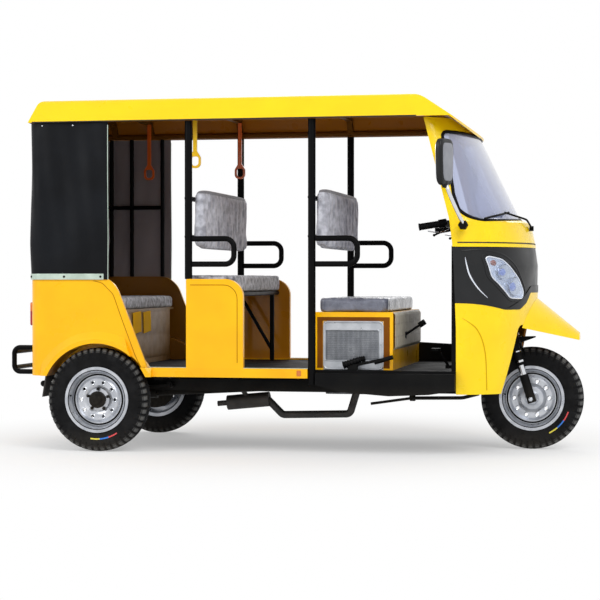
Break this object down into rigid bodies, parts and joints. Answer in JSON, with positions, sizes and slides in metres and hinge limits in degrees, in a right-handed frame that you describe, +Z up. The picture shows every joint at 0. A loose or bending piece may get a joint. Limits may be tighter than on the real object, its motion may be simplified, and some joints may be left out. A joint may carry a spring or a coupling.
{
  "type": "auto rickshaw",
  "caption": "Three-wheeled passenger auto rickshaw with open sides, bench seats, curtained tail, raked steering fork and free-turning wheels",
  "frame": {"origin": "on the floor under the middle of the vehicle's length and width", "axes": "+X forward, +Y to the vehicle's left, +Z up"},
  "size_m": [2.9459, 1.4884, 1.7999],
  "materials": {
    "yellow_paint": "glossy baked enamel, yellow",
    "black_paint": "satin black powder coat",
    "dark_frame": "matt black chassis paint",
    "floor_plate": "black painted chequer plate",
    "tyre_rubber": "moulded black rubber",
    "wheel_silver": "silver wheel paint",
    "fork_steel": "chromed tube and black sliders",
    "grey_fabric": "gathered grey cloth",
    "vinyl_seat": "grey vinyl",
    "brown_steel": "brown painted sheet",
    "curtain_pvc": "black PVC sheet",
    "glass": "clear laminated glass",
    "lamp": "clear lamp lens over reflectors",
    "red_lens": "red and amber lens",
    "mask_plastic": "satin black ABS",
    "black_rubber": "black rubber",
    "strap": "orange-yellow moulded straps",
    "cast_alloy": "cast alloy",
    "core_alloy": "finned alloy core",
    "exhaust_steel": "black heat-resistant paint",
    "mirror_back": "mirror glass in a grey and black case"
  },
  "bodies": {
    "body": {"chassis_frame": "dark_frame", "rear_axle": "dark_frame", "rear_suspension": "dark_frame", "engine": "cast_alloy", "prop_shaft": "dark_frame", "exhaust": "exhaust_steel", "radiator": "core_alloy", "floor_deck": "floor_plate", "side_sills": "yellow_paint", "front_sills": "black_paint", "rear_side_panels": "yellow_paint", "rear_panel": "yellow_paint", "mid_side_panels": "yellow_paint", "rear_bumper": "black_paint", "mud_flaps": "black_rubber", "tail_lamps": "red_lens", "rear_seat_base": "brown_steel", "rear_seat_cushion": "grey_fabric", "rear_backrest": "grey_fabric", "mid_seat_frame": "black_paint", "mid_seat_cushion": "grey_fabric", "mid_backrest": "grey_fabric", "driver_seat_box": "yellow_paint", "driver_seat_cushion": "vinyl_seat", "driver_backrest": "grey_fabric", "upright_frame": "black_paint", "armrests": "black_paint", "curtain_frame": "black_paint", "curtain": "curtain_pvc", "grab_handles": "strap", "roof": "yellow_paint", "windscreen_surround": "yellow_paint", "windscreen": "glass", "cowl_lower": "yellow_paint", "cowl_mask": "mask_plastic", "headlamps": "lamp", "leg_shield": "black_paint", "front_mudguard": "yellow_paint", "wiper": "black_paint", "mirrors": "mirror_back", "floor_controls": "dark_frame"},
    "steering": {"front_fork": "fork_steel", "handlebar": "black_paint", "handlebar_grips": "black_rubber"},
    "front_wheel": {"front_tyre": "tyre_rubber", "front_wheel": "wheel_silver"},
    "rear_wheel_right": {"rear_tyre_right": "tyre_rubber", "rear_wheel_right": "wheel_silver"},
    "rear_wheel_left": {"rear_tyre_left": "tyre_rubber", "rear_wheel_left": "wheel_silver"}
  },
  "joints": [
    {"name": "steering_turn", "type": "hinge", "parent": "body", "child": "steering", "pos_m": [1.208, 0, 0.265], "axis": [-0.3007, 0, 0.9537], "range_deg": [-40, 40]},
    {"name": "front_wheel_spin", "type": "hinge", "parent": "steering", "child": "front_wheel", "pos_m": [1.208, 0, 0.265], "axis": [0, 1, 0], "continuous": true},
    {"name": "rear_wheel_right_spin", "type": "hinge", "parent": "body", "child": "rear_wheel_right", "pos_m": [-0.959, -0.56, 0.265], "axis": [0, 1, 0], "continuous": true},
    {"name": "rear_wheel_left_spin", "type": "hinge", "parent": "body", "child": "rear_wheel_left", "pos_m": [-0.959, 0.56, 0.265], "axis": [0, 1, 0], "continuous": true}
  ]
}
